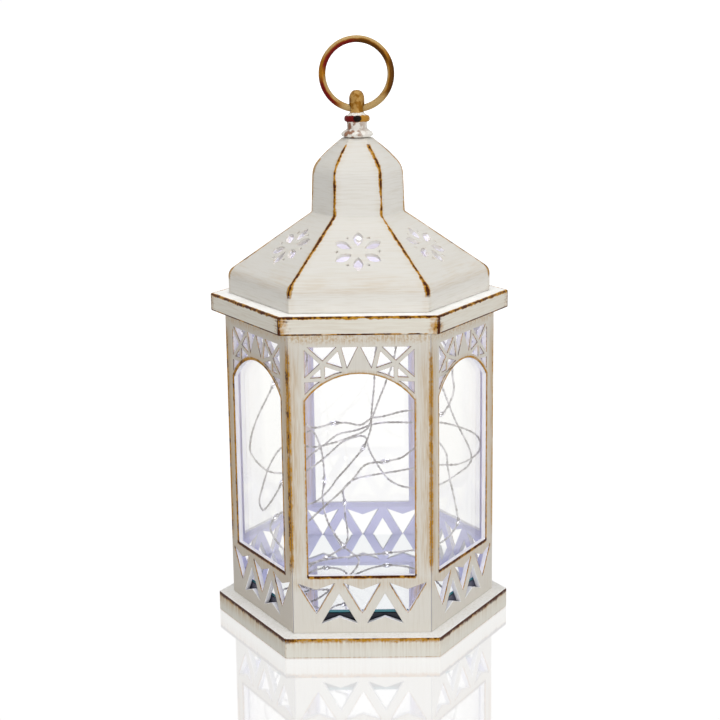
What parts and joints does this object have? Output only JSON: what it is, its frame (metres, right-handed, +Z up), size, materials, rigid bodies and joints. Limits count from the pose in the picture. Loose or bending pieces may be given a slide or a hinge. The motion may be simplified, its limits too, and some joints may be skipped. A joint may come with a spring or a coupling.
{
  "type": "decorative lantern with micro lights",
  "caption": "Six-sided free-standing lantern with pierced walls, glazed windows, a string of micro lights over a mirror floor, a hinged ring handle and a battery base.",
  "frame": {"origin": "on the surface that the base stands on, at the middle of the hexagon", "axes": "+Z up through the finial and the ring, -Y through the front wall, +X to the right through a corner of the hexagon"},
  "size_m": [0.14, 0.1212, 0.2744],
  "materials": {
    "antique_white": "moulded plastic painted cream white, with brown and gold brushed over its edges",
    "bronze": "worn antique bronze paint",
    "black_plastic": "moulded, fine matt",
    "white_rubber": "soft white rubber",
    "clear_sheet": "clear flat sheet",
    "mirror": "silvered sheet",
    "nickel": "nickel plated",
    "cell_sleeve": "plain shrunk sleeve over a metal can",
    "circuit_board": "green lacquered board",
    "wire_silver": "twin lacquered wire with clear resin drops over the lights",
    "red_lead": "insulated lead",
    "black_lead": "insulated lead"
  },
  "bodies": {
    "lantern": {"base_cover": "black_plastic", "base_plinth": "antique_white", "battery_1": "cell_sleeve", "battery_2": "cell_sleeve", "battery_3": "cell_sleeve", "battery_box": "black_plastic", "battery_contact_1": "nickel", "battery_contact_2": "nickel", "battery_contact_3": "nickel", "battery_contact_4": "nickel", "battery_lead_1": "red_lead", "battery_lead_2": "black_lead", "cornice_slab": "antique_white", "cover_screw_1": "nickel", "cover_screw_2": "nickel", "cover_screw_3": "nickel", "fairy_wire_1": "wire_silver", "fairy_wire_2": "wire_silver", "fairy_wire_3": "wire_silver", "fairy_wire_4": "wire_silver", "fairy_wire_5": "wire_silver", "finial": "bronze", "finial_nut": "nickel", "floor_tray": "black_plastic", "lead_wire": "wire_silver", "mirror_floor": "mirror", "roof_shell": "antique_white", "switch_body": "nickel", "timer_board": "circuit_board", "wall_panel_1": "antique_white", "wall_panel_2": "antique_white", "wall_panel_3": "antique_white", "wall_panel_4": "antique_white", "wall_panel_5": "antique_white", "wall_panel_6": "antique_white", "window_pane_1": "clear_sheet", "window_pane_2": "clear_sheet", "window_pane_3": "clear_sheet", "window_pane_4": "clear_sheet", "window_pane_5": "clear_sheet", "window_pane_6": "clear_sheet", "wire_grommet": "white_rubber"},
    "ring": {"ring_handle": "bronze"},
    "door": {"battery_door": "black_plastic"},
    "knob": {"switch_knob": "black_plastic"}
  },
  "joints": [
    {"name": "ring_swing", "type": "hinge", "parent": "lantern", "child": "ring", "pos_m": [0, 0, 0.2416], "axis": [1, 0, 0], "range_deg": [-140, 140]},
    {"name": "door_hinge", "type": "hinge", "parent": "lantern", "child": "door", "pos_m": [0, 0.02045, 0.003], "axis": [1, 0, 0], "range_deg": [0, 95]},
    {"name": "switch_slide", "type": "slide", "parent": "lantern", "child": "knob", "axis": [1, 0, 0], "range_m": [0, 0.004]}
  ]
}
